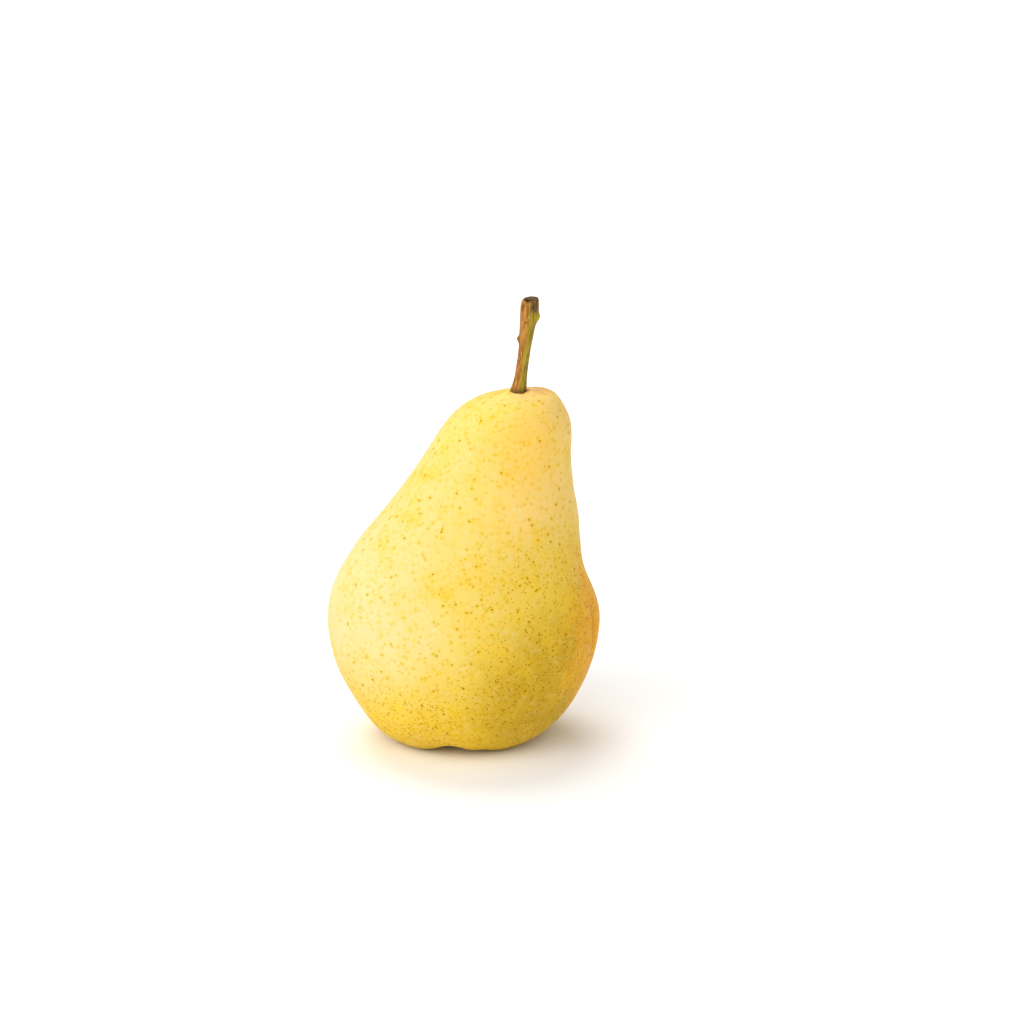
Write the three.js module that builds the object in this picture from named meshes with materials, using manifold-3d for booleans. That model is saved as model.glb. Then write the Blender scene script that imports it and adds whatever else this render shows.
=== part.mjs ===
// A ripe yellow pear standing upright on the lobes round its calyx.
// Millimetres, +Z up. The origin is on the surface that the pear rests on, at the middle of its outline
// seen from above.
import * as THREE from "three";
import { mergeVertices } from "three/addons/utils/BufferGeometryUtils.js";
import Module from "manifold-3d";

const wasm = await Module();
wasm.setup();

// The fruit's outline before it leans: radius and height, from the floor of the calyx basin on the axis,
// down its wall to the lobes that carry the pear, round the belly, up the neck and in to the stem's dip.
const FRUIT_OUTLINE = [
  [0.0, 6.4], [3.0, 6.2], [6.0, 5.1], [8.8, 2.7], [11.6, 0.5], [15.0, -0.25], [19.0, 0.6],
  [23.0, 3.0], [26.7, 7.2], [30.1, 12.9], [32.9, 19.4], [34.7, 26.4], [35.1, 33.4], [34.0, 40.2],
  [31.6, 46.6], [28.7, 52.8], [25.8, 58.8], [23.2, 64.6], [20.8, 70.4], [18.6, 76.2], [16.8, 81.8],
  [14.4, 86.8], [10.8, 90.2], [6.6, 91.6], [3.0, 91.6], [0.0, 91.0],
];
const RINGS_PER_SPAN = 2;
const FRUIT_SIDES = 52;
const OVAL = 0.975; // depth over width

// The neck leans to +X above the belly, and the crown rises a little on that side.
const LEAN_HEIGHT = 47.5;
const LEAN_SLOPE = 0.325;
const LEAN_EASE = 2.5;
const CROWN_TILT = 0.07;
const CROWN_FROM = 84;
const CROWN_TO = 91;
// Fleshy mounds on the crown beside the stem: distance to +X from the stem, rise and half-width.
const MOUNDS = [
  { x: 6.0, rise: 0.8, wide: 4.2 },
  { x: -8.0, rise: 0.25, wide: 4.0 },
];

// Grooves that part the lobes: direction in degrees from +X, depth at the lobes and half-width in degrees.
const GROOVES = [
  { at: -99, depth: 2.2, wide: 15 },
  { at: -74, depth: 0.7, wide: 9 },
  { at: -18, depth: 1.4, wide: 16 },
  { at: 46, depth: 1.9, wide: 15 },
  { at: 112, depth: 1.3, wide: 14 },
  { at: 178, depth: 1.7, wide: 16 },
];
const GROOVE_RADIUS = 16;
const GROOVE_SPREAD = 9;
const GROOVE_FROM = 5;
const GROOVE_TO = 20;
const AXIS_CALM = 5; // a groove has faded out by the axis, from this far away

// Swellings and hollows of the flanks: direction, height, rise, half-width in degrees, half-height.
const SWELLINGS = [
  { at: 0, height: 43.5, rise: -1.1, wide: 38, tall: 7 },
  { at: 2, height: 33, rise: 0.35, wide: 20, tall: 8 },
  { at: 0, height: 60, rise: 0.5, wide: 30, tall: 5 },
  { at: -8, height: 13, rise: 0.45, wide: 30, tall: 12 },
  { at: 0, height: 88.5, rise: -0.7, wide: 50, tall: 3 },
  { at: 180, height: 89.5, rise: 0.6, wide: 50, tall: 2.5 },
  { at: 180, height: 47, rise: -0.6, wide: 34, tall: 5 },
  { at: 75, height: 60, rise: 0.6, wide: 34, tall: 13 },
  { at: 128, height: 36, rise: 0.45, wide: 26, tall: 14 },
  { at: 160, height: 62, rise: -0.5, wide: 24, tall: 12 },
  { at: 198, height: 11, rise: -0.5, wide: 24, tall: 7 },
  { at: 60, height: 22, rise: -0.5, wide: 22, tall: 9 },
];

// The stem: radius at heights above the fruit's dip, a curved centre line, a spur and a bud.
const STEM_BASE_X = 14.2;
const STEM_BASE_Z = 91.5;
const STEM_SEAT = 2.4; // how far the foot goes into the fruit
const SEAT_GAP = 0.3;
const STEM_OUTLINE = [
  [0.0, -2.4], [1.8, -2.4], [2.1, -1.2], [2.15, 0.2], [1.95, 1.5], [1.7, 3.5], [1.5, 6.4],
  [1.5, 9.6], [1.6, 12.5], [1.85, 15.7], [2.12, 18.7], [2.35, 21.4], [2.4, 23.3], [2.15, 24.5],
  [1.6, 24.9], [1.0, 24.5], [0.0, 24.1],
];
const STEM_SIDES = 16;
const STEM_SLOPE = 0.175;
const STEM_CURVE = 0.0018;
const STEM_BACK_SLOPE = 0.02;
const SPUR = { at: -12, height: 20.1, rise: 0.8, wide: 24, tall: 1.6 };
const BUD = { at: 176, height: 14.4, rise: 0.6, wide: 26, tall: 0.9 };

// The dried flower parts in the basin, each a short way off its floor. A wave makes each copy a little
// different.
const SEPAL_COUNT = 5;
const SEPAL = { length: 5.9, width: 3.4, thick: 0.5, rootRadius: 4.3, rootZ: 5.05, turn: 20 };
const SEPAL_STEPS = { along: 9, across: 4 };
const SEPAL_TAPER = { tip: 0.06, fullness: 1.7, root: 0.72, widening: 0.6 };
const SEPAL_TROUGH = 0.1; // how far its sides hang below its middle
const SEPAL_LENGTH_WAVE = { size: 0.07, pace: 2.3, start: 0.7 };
const SEPAL_CURL_WAVE = { size: 0.1, pace: 1.9, start: 0 };
const SEPAL_DROP = 0.76; // radians that a sepal's root points below level
const SEPAL_CURL = -0.18; // radians it turns back up or down by its tip
const THREAD_SIDES = 6;
const STAMEN_COUNT = 20;
const STAMEN_OUTLINE = [
  [0.0, 0.0], [0.26, 0.0], [0.2, 0.9], [0.18, 2.0], [0.2, 2.9], [0.42, 3.3], [0.4, 3.8], [0.0, 4.2],
];
const STAMEN_RINGS = [2.45, 3.3]; // radii of the inner and outer ones, by turns
const STAMEN_Z = 5.75;
const STAMEN_LEAN = 0.24; // outwards for each mm down
const STAMEN_LENGTH = 0.82; // share of the outline's length
const STAMEN_LEAN_WAVE = { size: 0.08, pace: 2.7, start: 0 };
const STAMEN_LENGTH_WAVE = { size: 0.12, pace: 4.1, start: 1 };
const STAMEN_BEND_WAVE = { size: 0.03, pace: 1.3, start: 0 };
const STYLE_COUNT = 5;
const STYLE_OUTLINE = [
  [0.0, 0.0], [0.34, 0.0], [0.26, 1.0], [0.24, 2.2], [0.44, 2.7], [0.3, 3.1], [0.0, 3.2],
];
const STYLE_RADIUS = 1.0;
const STYLE_Z = 5.95;
const STYLE_LEAN = 0.12;
const STYLE_LENGTH = 0.9;
const STYLE_LENGTH_WAVE = { size: 0.1, pace: 2.1, start: 0 };

const bell = (offset, spread) => Math.exp(-((offset / spread) ** 2));
const wave = ({ size, pace, start }, index) => size * Math.sin(pace * index + start);
const turnFrom = (degrees, at) => ((((degrees - at + 180) % 360) + 360) % 360) - 180;
const leanAt = (z) => LEAN_SLOPE * LEAN_EASE * Math.log1p(Math.exp((z - LEAN_HEIGHT) / LEAN_EASE));

// A solid of revolution about +Z through a smooth curve of [radius, height] points.
function turned(outline, sides, stepsPerSpan) {
  const curve = new THREE.SplineCurve(outline.map(([r, z]) => new THREE.Vector2(r, z)));
  const points = curve.getPoints((outline.length - 1) * stepsPerSpan);
  points.forEach((p) => (p.x = Math.max(p.x, 0)));
  return new THREE.LatheGeometry(points, sides).rotateX(Math.PI / 2);
}

// Moves each vertex by a function of its place.
function reshape(geometry, move) {
  const position = geometry.getAttribute("position");
  const point = new THREE.Vector3();
  for (let i = 0; i < position.count; i += 1) {
    point.fromBufferAttribute(position, i);
    move(point);
    position.setXYZ(i, point.x, point.y, point.z);
  }
  return geometry;
}

// How far bumps stand out at a direction in degrees and a height.
function swelling(bumps, degrees, z) {
  const rise = (b) => b.rise * bell(turnFrom(degrees, b.at), b.wide) * bell(z - b.height, b.tall);
  return bumps.reduce((sum, b) => sum + rise(b), 0);
}

// Turns a regular fruit into the grown one: flanks, grooves, oval section, lean, crown and resting flats.
function growFruit(point) {
  const degrees = THREE.MathUtils.radToDeg(Math.atan2(point.y, point.x));
  const plainRadius = Math.hypot(point.x, point.y);
  const stretch = plainRadius > 0 ? 1 + swelling(SWELLINGS, degrees, point.z) / plainRadius : 1;
  const radius = plainRadius * stretch;
  const fade = 1 - THREE.MathUtils.smoothstep(point.z, GROOVE_FROM, GROOVE_TO);
  const calm = THREE.MathUtils.smoothstep(plainRadius, 0, AXIS_CALM);
  const near = bell(radius - GROOVE_RADIUS, GROOVE_SPREAD) * fade * calm;
  const depth = GROOVES.reduce((sum, g) => sum + g.depth * bell(turnFrom(degrees, g.at), g.wide), 0);
  const crown = THREE.MathUtils.smoothstep(point.z, CROWN_FROM, CROWN_TO);
  const x = point.x * stretch;
  const y = point.y * stretch * OVAL;
  const mounds = MOUNDS.reduce((sum, m) => sum + m.rise * bell(Math.hypot(x - m.x, y), m.wide), 0);
  const z = point.z + depth * near + (CROWN_TILT * x + mounds) * crown;
  point.set(x + leanAt(point.z), y, Math.max(z, 0));
}

// Bends the straight stem along its curved centre line, after its spur and bud stand out.
function growStem(point) {
  const degrees = THREE.MathUtils.radToDeg(Math.atan2(point.y, point.x));
  const plainRadius = Math.hypot(point.x, point.y);
  const rise = swelling([SPUR, BUD], degrees, point.z) / STEM_OUTLINE[1][0];
  const stretch = plainRadius > 0 ? 1 + rise : 1;
  const h = point.z;
  point.x = point.x * stretch + STEM_BASE_X + STEM_SLOPE * h - STEM_CURVE * h * h;
  point.y = point.y * stretch + STEM_BACK_SLOPE * h;
  point.z = STEM_BASE_Z + h;
}

function solidOf(geometry) {
  const plain = geometry.clone();
  plain.deleteAttribute("normal");
  plain.deleteAttribute("uv");
  const merged = mergeVertices(plain, 1e-4);
  return new wasm.Manifold(new wasm.Mesh({
    numProp: 3,
    vertProperties: merged.getAttribute("position").array,
    triVerts: new Uint32Array(merged.index.array),
  }));
}

function geometryOf(solid) {
  const { vertProperties, triVerts } = solid.getMesh();
  const geometry = new THREE.BufferGeometry();
  geometry.setAttribute("position", new THREE.BufferAttribute(vertProperties, 3));
  geometry.setIndex(new THREE.BufferAttribute(triVerts, 1));
  geometry.computeVertexNormals();
  return geometry;
}

const SKIN = new THREE.MeshStandardMaterial({ color: 0xecc85c, roughness: 0.5, metalness: 0 });
const BARK = new THREE.MeshStandardMaterial({ color: 0x9a7228, roughness: 0.8, metalness: 0 });
const DRIED_LEAF = new THREE.MeshStandardMaterial({ color: 0x2a211b, roughness: 0.85, metalness: 0 });
const DRIED_THREAD = new THREE.MeshStandardMaterial({ color: 0x4a3420, roughness: 0.85, metalness: 0 });

function piece(name, geometry, finish) {
  const mesh = new THREE.Mesh(geometry, finish.clone());
  mesh.name = name;
  return mesh;
}

const stemGeometry = reshape(turned(STEM_OUTLINE, STEM_SIDES, RINGS_PER_SPAN), growStem);

// The fruit with the socket that the stem's foot grows out of.
function makeFruit() {
  const body = reshape(turned(FRUIT_OUTLINE, FRUIT_SIDES, RINGS_PER_SPAN), growFruit);
  const wider = ([r, z]) => [r > 0 ? r + SEAT_GAP : 0, z];
  const foot = STEM_OUTLINE.filter(([, z]) => z < STEM_SEAT * 2).map(wider);
  const lowest = -STEM_SEAT - SEAT_GAP;
  const socket = [[0, lowest], [foot[1][0], lowest], ...foot.slice(2), [0, foot.at(-1)[1]]];
  const points = socket.map(([r, z]) => new THREE.Vector2(r, z));
  const cutter = reshape(new THREE.LatheGeometry(points, STEM_SIDES).rotateX(Math.PI / 2), growStem);
  return geometryOf(solidOf(body).subtract(solidOf(cutter)));
}

// One pointed sepal lying out along the basin's wall: a thin strip, tapered and curled.
function makeSepal(index) {
  const { length, width, thick, rootRadius, rootZ, turn } = SEPAL;
  const strip = new THREE.BoxGeometry(length, width, thick, SEPAL_STEPS.along, SEPAL_STEPS.across, 1);
  const { tip, fullness, root, widening } = SEPAL_TAPER;
  const long = 1 + wave(SEPAL_LENGTH_WAVE, index);
  const curl = SEPAL_CURL + wave(SEPAL_CURL_WAVE, index);
  const blade = reshape(strip, (point) => {
    const t = THREE.MathUtils.clamp(point.x / length + 0.5, 0, 1);
    const along = t * length * long;
    const taper = tip + (1 - tip) * Math.sqrt(1 - t ** fullness) * (root + widening * t);
    const trough = SEPAL_TROUGH * (2 * point.y / width) ** 2;
    const angle = SEPAL_DROP + curl * t;
    const midAngle = SEPAL_DROP + curl * t / 2;
    const out = along * Math.cos(midAngle) + point.z * Math.sin(angle);
    const down = along * Math.sin(midAngle) - point.z * Math.cos(angle) + trough;
    point.set(rootRadius + out, point.y * taper, rootZ - down);
  });
  return blade.rotateZ(THREE.MathUtils.degToRad(turn) + (index * 2 * Math.PI) / SEPAL_COUNT);
}

// A dried thread hanging from the basin's floor: turned, leant outwards and bent sideways.
function makeThread(outline, root, lean, bend, length, direction) {
  const thread = reshape(turned(outline, THREAD_SIDES, 1), (point) => {
    const h = point.z * length;
    point.set(root.radius + point.x + h * lean, -point.y + bend * h * h, root.z - h);
  });
  return thread.rotateZ(direction);
}

const pear = new THREE.Group();
pear.add(piece("fruit", makeFruit(), SKIN));
pear.add(piece("stem", stemGeometry, BARK));
for (let i = 0; i < SEPAL_COUNT; i += 1) {
  pear.add(piece(`sepal_${i + 1}`, makeSepal(i), DRIED_LEAF));
}
for (let i = 0; i < STAMEN_COUNT; i += 1) {
  const root = { radius: STAMEN_RINGS[i % STAMEN_RINGS.length], z: STAMEN_Z };
  const lean = STAMEN_LEAN + wave(STAMEN_LEAN_WAVE, i);
  const length = STAMEN_LENGTH + wave(STAMEN_LENGTH_WAVE, i);
  const bend = wave(STAMEN_BEND_WAVE, i);
  const thread = makeThread(STAMEN_OUTLINE, root, lean, bend, length, (i * 2 * Math.PI) / STAMEN_COUNT);
  pear.add(piece(`stamen_${i + 1}`, thread, DRIED_THREAD));
}
for (let i = 0; i < STYLE_COUNT; i += 1) {
  const root = { radius: STYLE_RADIUS, z: STYLE_Z };
  const length = STYLE_LENGTH + wave(STYLE_LENGTH_WAVE, i);
  const thread = makeThread(STYLE_OUTLINE, root, STYLE_LEAN, 0, length, (i * 2 * Math.PI) / STYLE_COUNT);
  pear.add(piece(`style_${i + 1}`, thread, DRIED_THREAD));
}

// The origin goes to the middle of the outline seen from above.
const middle = new THREE.Box3().setFromObject(pear).getCenter(new THREE.Vector3());
pear.position.set(-middle.x, -middle.y, 0);

export default pear;
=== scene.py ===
"""A ripe yellow pear, standing upright on a pale table.

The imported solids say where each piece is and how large. The fruit, its stem and the dried flower in its
basin are grown again here in fine meshes at those places, and dressed with skin, bark and dry plant matter.
Design sizes are in millimetres, as grown; a Placement carries them into the frame, in metres.
"""

import sys
import logging
import math
from dataclasses import dataclass
from enum import Enum
from typing import Callable, Optional, Sequence, Union

import bmesh
import bpy
import numpy as np
from mathutils import Matrix, Vector, noise


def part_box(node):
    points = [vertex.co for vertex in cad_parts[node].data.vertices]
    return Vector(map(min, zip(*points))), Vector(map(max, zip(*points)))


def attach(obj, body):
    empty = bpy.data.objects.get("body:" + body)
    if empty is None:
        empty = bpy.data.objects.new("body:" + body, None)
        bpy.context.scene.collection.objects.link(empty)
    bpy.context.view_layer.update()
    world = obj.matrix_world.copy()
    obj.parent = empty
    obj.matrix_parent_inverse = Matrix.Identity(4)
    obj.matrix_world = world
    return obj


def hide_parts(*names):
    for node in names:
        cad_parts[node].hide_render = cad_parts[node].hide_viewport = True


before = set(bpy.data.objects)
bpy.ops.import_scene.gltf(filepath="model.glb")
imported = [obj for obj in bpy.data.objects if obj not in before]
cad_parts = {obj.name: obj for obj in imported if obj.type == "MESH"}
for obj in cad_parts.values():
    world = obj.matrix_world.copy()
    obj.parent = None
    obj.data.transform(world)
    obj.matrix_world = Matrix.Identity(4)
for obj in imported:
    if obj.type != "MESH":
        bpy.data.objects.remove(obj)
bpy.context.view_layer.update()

LOG = logging.getLogger("pear")
BODY = "root"
MM = 0.001
HALF = 0.5  # the middle of a noise's range

Body = bmesh.types.BMesh
Piece = bpy.types.Object
Material = bpy.types.Material
Socket = bpy.types.NodeSocket
Span = tuple[float, float]
Triple = tuple[float, float, float]
Outline = Sequence[tuple[float, float]]
Move = Callable[[np.ndarray], np.ndarray]
Number = Union[int, float]


class Slot(Enum):
    """The record's material slots."""

    SKIN = "skin"
    BARK = "stem_bark"
    SEPAL = "dried_sepal"
    THREAD = "dried_thread"


# ---- shapes


def bell(offset: np.ndarray, spread: float) -> np.ndarray:
    """A smooth hump of height 1 that has all but gone at twice its spread."""
    return np.exp(-((offset / spread) ** 2))


def smoothstep(low: float, high: float, value: np.ndarray) -> np.ndarray:
    """Rises from 0 at low to 1 at high, level at both ends."""
    share = np.clip((value - low) / (high - low), 0.0, 1.0)
    return share * share * (3.0 - 2.0 * share)


def turn_from(degrees: np.ndarray, at: float) -> np.ndarray:
    """The turn from one direction to others, in degrees from -180 to 180."""
    return (degrees - at + 180.0) % 360.0 - 180.0


@dataclass(frozen=True)
class Ripple:
    """Smooth random rises and falls: how high, how far from one to the next, and which pattern."""

    height: float
    length: float
    seed: float

    def lift(self, places: np.ndarray) -> np.ndarray:
        """How far it lifts each of these points, between about -height and height."""
        shift = Vector((self.seed, 1.7 * self.seed, -0.6 * self.seed))
        return self.height * np.array([noise.noise(Vector(p) / self.length + shift) for p in places])


def smooth_outline(points: Outline, steps: int) -> list[tuple[float, float]]:
    """Draws a smooth curve through an outline's points.

    Args:
        points: The outline, as (radius, height).
        steps: How many points each span gets.

    Returns:
        The finer outline, with no radius below 0.
    """
    fine = []
    last = len(points) - 1
    for i in range(last):
        before, start, end, after = (Vector(points[min(max(i + k, 0), last)]) for k in (-1, 0, 1, 2))
        leave = (end - before) / 2
        arrive = (after - start) / 2
        for k in range(steps):
            t = k / steps
            cubic = 2 * start - 2 * end + leave + arrive
            square = 3 * end - 3 * start - 2 * leave - arrive
            here = cubic * t**3 + square * t**2 + leave * t + start
            fine.append((max(here.x, 0.0), here.y))
    return fine + [tuple(points[-1])]


def spun(outline: Outline, sides: int) -> Body:
    """Spins an outline that starts and ends on the axis into a closed body about Z.

    Args:
        outline: Points as (radius, height).
        sides: Steps in the full turn.

    Returns:
        The new body, facing out.
    """
    body = bmesh.new()
    row = [body.verts.new((radius, 0.0, height)) for radius, height in outline]
    for start, end in zip(row, row[1:]):
        body.edges.new((start, end))
    bmesh.ops.spin(
        body, geom=body.verts[:] + body.edges[:], cent=(0, 0, 0), axis=(0, 0, 1),
        angle=2 * math.pi, steps=sides, use_merge=True,
    )
    bmesh.ops.remove_doubles(body, verts=body.verts[:], dist=1e-5)
    bmesh.ops.recalc_face_normals(body, faces=body.faces[:])
    return body


def places_of(body: Body) -> np.ndarray:
    """The places of a body's vertices, one to a row."""
    return np.array([v.co[:] for v in body.verts])


def reshape(body: Body, move: Move) -> None:
    """Moves all of a body's vertices by a function of their places."""
    for vertex, place in zip(body.verts, move(places_of(body))):
        vertex.co = place


@dataclass(frozen=True)
class Bump:
    """A swelling, or with a negative rise a hollow, on a body of revolution.

    Attributes:
        at: Its direction, in degrees from +X.
        height: Where its middle is.
        rise: How far it stands out, in mm.
        wide: Its half-width, in degrees.
        tall: Its half-height, in mm.
    """

    at: float
    height: float
    rise: float
    wide: float
    tall: float

    def lift(self, degrees: np.ndarray, heights: np.ndarray) -> np.ndarray:
        """How far it lifts the surface at each direction and height."""
        round_about = bell(turn_from(degrees, self.at), self.wide)
        return self.rise * round_about * bell(heights - self.height, self.tall)


@dataclass(frozen=True)
class Groove:
    """A valley between two lobes of the base: its direction and half-width in degrees, its depth in mm."""

    at: float
    depth: float
    wide: float


@dataclass(frozen=True)
class Mound:
    """A low mound on the crown: its middle, how far it rises and its half-width, in mm."""

    x: float
    y: float
    rise: float
    wide: float

    def lift(self, x: np.ndarray, y: np.ndarray) -> np.ndarray:
        """How far it lifts the crown at each place."""
        return self.rise * bell(np.hypot(x - self.x, y - self.y), self.wide)


@dataclass(frozen=True)
class Placement:
    """Carries design millimetres into the frame's metres.

    Attributes:
        shift: What is added to a design place, in mm.
        scale: Metres to a design mm.
    """

    shift: Vector
    scale: float

    def matrix(self) -> Matrix:
        """The whole change as one matrix."""
        return Matrix.Scale(self.scale, 4) @ Matrix.Translation(self.shift)

    def place(self, point: Sequence[float]) -> Vector:
        """A design point's place in the frame."""
        return self.matrix() @ Vector(point)


def linked(name: str, data: bpy.types.ID) -> Piece:
    """A new object of the scene, with this data."""
    made = bpy.data.objects.new(name, data)
    bpy.context.scene.collection.objects.link(made)
    return made


def show(
    body: Body,
    name: str,
    node: str,
    material: Material,
    placement: Placement,
    marks: Optional[dict[str, np.ndarray]] = None,
) -> Piece:
    """Turns a finished body into a piece of the pear.

    Args:
        body: The mesh, in design mm. It is freed.
        name: The piece's name.
        node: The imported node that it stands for.
        material: Its finish.
        placement: Where design mm go.
        marks: Values that the finish reads at each vertex, one array for each name.

    Returns:
        The piece, in place.
    """
    bmesh.ops.transform(body, matrix=placement.matrix(), verts=body.verts[:])
    mesh = bpy.data.meshes.new(name)
    body.to_mesh(mesh)
    body.free()
    for label, values in (marks or {}).items():
        kind = "FLOAT" if values.ndim == 1 else "FLOAT_VECTOR"
        layer = mesh.attributes.new(label, kind, "POINT")
        channel = "value" if kind == "FLOAT" else "vector"
        layer.data.foreach_set(channel, values.astype(np.float32).ravel())
    mesh.shade_smooth()
    mesh.materials.append(material)
    piece = linked(name, mesh)
    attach(piece, BODY)
    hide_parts(node)
    LOG.info("%s stands for %s: %d faces", name, node, len(mesh.polygons))
    return piece


# ---- shader sums


def linear(colour: str) -> tuple[float, float, float, float]:
    """A colour written as #rrggbb, as the shader's linear red, green, blue and alpha."""
    shares = [int(colour[i : i + 2], 16) / 255 for i in (1, 3, 5)]
    return (*(s / 12.92 if s <= 0.04045 else ((s + 0.055) / 1.055) ** 2.4 for s in shares), 1.0)


Term = Union["Sum", Number]


class Sum:
    """A value socket that Python's operators work on: each adds a Math node to its recipe."""

    def __init__(self, recipe: "Recipe", socket: Socket) -> None:
        """Wraps a socket of that recipe."""
        self.recipe = recipe
        self.socket = socket

    def _math(self, operation: str, *terms: Term) -> "Sum":
        """Adds one Math node over these terms."""
        node = self.recipe.node("ShaderNodeMath", {"operation": operation}, dict(enumerate(terms)))
        return Sum(self.recipe, node.outputs[0])

    def __add__(self, other: Term) -> "Sum":
        """self + other."""
        return self._math("ADD", self, other)

    def __radd__(self, other: Number) -> "Sum":
        """other + self."""
        return self._math("ADD", other, self)

    def __sub__(self, other: Term) -> "Sum":
        """self - other."""
        return self._math("SUBTRACT", self, other)

    def __rsub__(self, other: Number) -> "Sum":
        """other - self."""
        return self._math("SUBTRACT", other, self)

    def __mul__(self, other: Term) -> "Sum":
        """self * other."""
        return self._math("MULTIPLY", self, other)

    def __truediv__(self, other: Term) -> "Sum":
        """self / other."""
        return self._math("DIVIDE", self, other)

    def __pow__(self, other: Term) -> "Sum":
        """self to the power other."""
        return self._math("POWER", self, other)

    def __gt__(self, other: Term) -> "Sum":
        """1 where self is greater, else 0."""
        return self._math("GREATER_THAN", self, other)

    def at_most(self, other: Term) -> "Sum":
        """The smaller of the two."""
        return self._math("MINIMUM", self, other)

    def at_least(self, other: Term) -> "Sum":
        """The larger of the two."""
        return self._math("MAXIMUM", self, other)

    def clamped(self) -> "Sum":
        """Held between 0 and 1."""
        return self.at_least(0.0).at_most(1.0)

    def rise(self, low: Number, high: Number) -> "Sum":
        """A smooth step from 0 at low to 1 at high; a fall where low is the larger."""
        start, end = (0.0, 1.0) if low < high else (1.0, 0.0)
        low, high = sorted((low, high))
        ends = {"Value": self, "From Min": low, "From Max": high, "To Min": start, "To Max": end}
        node = self.recipe.node("ShaderNodeMapRange", {"interpolation_type": "SMOOTHSTEP"}, ends)
        return Sum(self.recipe, node.outputs["Result"])


class Recipe:
    """One material's nodes, from its coordinates to its surface."""

    def __init__(self, name: str) -> None:
        """Starts a material with an empty node tree."""
        self.material = bpy.data.materials.new(name)
        self.material.use_nodes = True
        self.tree = self.material.node_tree
        self.tree.nodes.clear()
        self.place = self.node("ShaderNodeTexCoord").outputs["Object"]

    def node(
        self, kind: str, settings: Optional[dict[str, object]] = None, inputs: Optional[dict] = None
    ) -> bpy.types.Node:
        """Adds a node.

        Args:
            kind: The node's type.
            settings: Its properties, set first.
            inputs: A value, a Sum or a socket for each input, by name or index.

        Returns:
            The new node.
        """
        made = self.tree.nodes.new(kind)
        for label, value in (settings or {}).items():
            setattr(made, label, value)
        for label, value in (inputs or {}).items():
            if isinstance(value, Sum):
                value = value.socket
            if isinstance(value, Socket):
                self.tree.links.new(value, made.inputs[label])
            else:
                made.inputs[label].default_value = value
        return made

    def axes(self) -> tuple[Sum, Sum, Sum]:
        """The place's three coordinates, in mm of the frame."""
        parts = self.node("ShaderNodeSeparateXYZ", None, {0: self.place}).outputs
        return tuple(Sum(self, part) / MM for part in parts)

    def mark(self, label: str) -> Sum:
        """A value stored at the piece's vertices."""
        return Sum(self, self.node("ShaderNodeAttribute", {"attribute_name": label}).outputs["Fac"])

    def scaled(self, vector: Socket, by: Sequence[float]) -> Socket:
        """A vector with each coordinate multiplied."""
        made = self.node("ShaderNodeVectorMath", {"operation": "MULTIPLY"}, {0: vector, 1: tuple(by)})
        return made.outputs[0]

    def noise(self, size: float, detail: float, rough: float = 0.5, place: Optional[Socket] = None) -> Sum:
        """Smooth noise from 0 to 1, with features of about that size, in metres or in the place's unit."""
        made = self.node(
            "ShaderNodeTexNoise",
            {"noise_dimensions": "3D"},
            {"Vector": place or self.place, "Scale": 1 / size, "Detail": detail, "Roughness": rough},
        )
        return Sum(self, made.outputs["Fac"])

    def mix(self, share: Term, low: object, high: object, blend: str = "MIX") -> Socket:
        """A colour that goes from low to high, or to their blend; each is a socket or #rrggbb."""
        colours = [linear(c) if isinstance(c, str) else c for c in (low, high)]
        settings = {"data_type": "RGBA", "blend_type": blend, "clamp_factor": True}
        return self.node("ShaderNodeMix", settings, {0: share, 6: colours[0], 7: colours[1]}).outputs[2]

    def layered(self, colour: Socket, layers: Sequence[tuple[Term, object]]) -> Socket:
        """A colour with others laid over it in turn, as (share, socket or #rrggbb)."""
        for share, over in layers:
            colour = self.mix(share, colour, over)
        return colour

    def tint(self, share: Term, colour: Socket, tint: str) -> Socket:
        """A colour multiplied by a #rrggbb tint, by that share."""
        return self.mix(share, colour, tint, "MULTIPLY")

    def surface(self, colour: Socket, rough: Term, height: Sum, depth: float, **constants: object) -> Material:
        """Ends the recipe in a Principled surface.

        Args:
            colour: The base colour.
            rough: The roughness.
            height: The relief, about 0 to 1.
            depth: What a height of 1 stands for, in metres.
            **constants: Other sockets of the shader by name, with _ for a space.

        Returns:
            The finished material.
        """
        relief = self.node("ShaderNodeBump", None, {"Height": height, "Distance": depth, "Strength": 1.0})
        sockets = {label.replace("_", " "): value for label, value in constants.items()}
        return self.ended({"Base Color": colour, "Roughness": rough, "Normal": relief.outputs[0], **sockets})

    def ended(self, inputs: dict[str, object]) -> Material:
        """The finished material: a Principled surface with these inputs."""
        shader = self.node("ShaderNodeBsdfPrincipled", None, inputs)
        self.node("ShaderNodeOutputMaterial", None, {"Surface": shader.outputs[0]})
        return self.material


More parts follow.
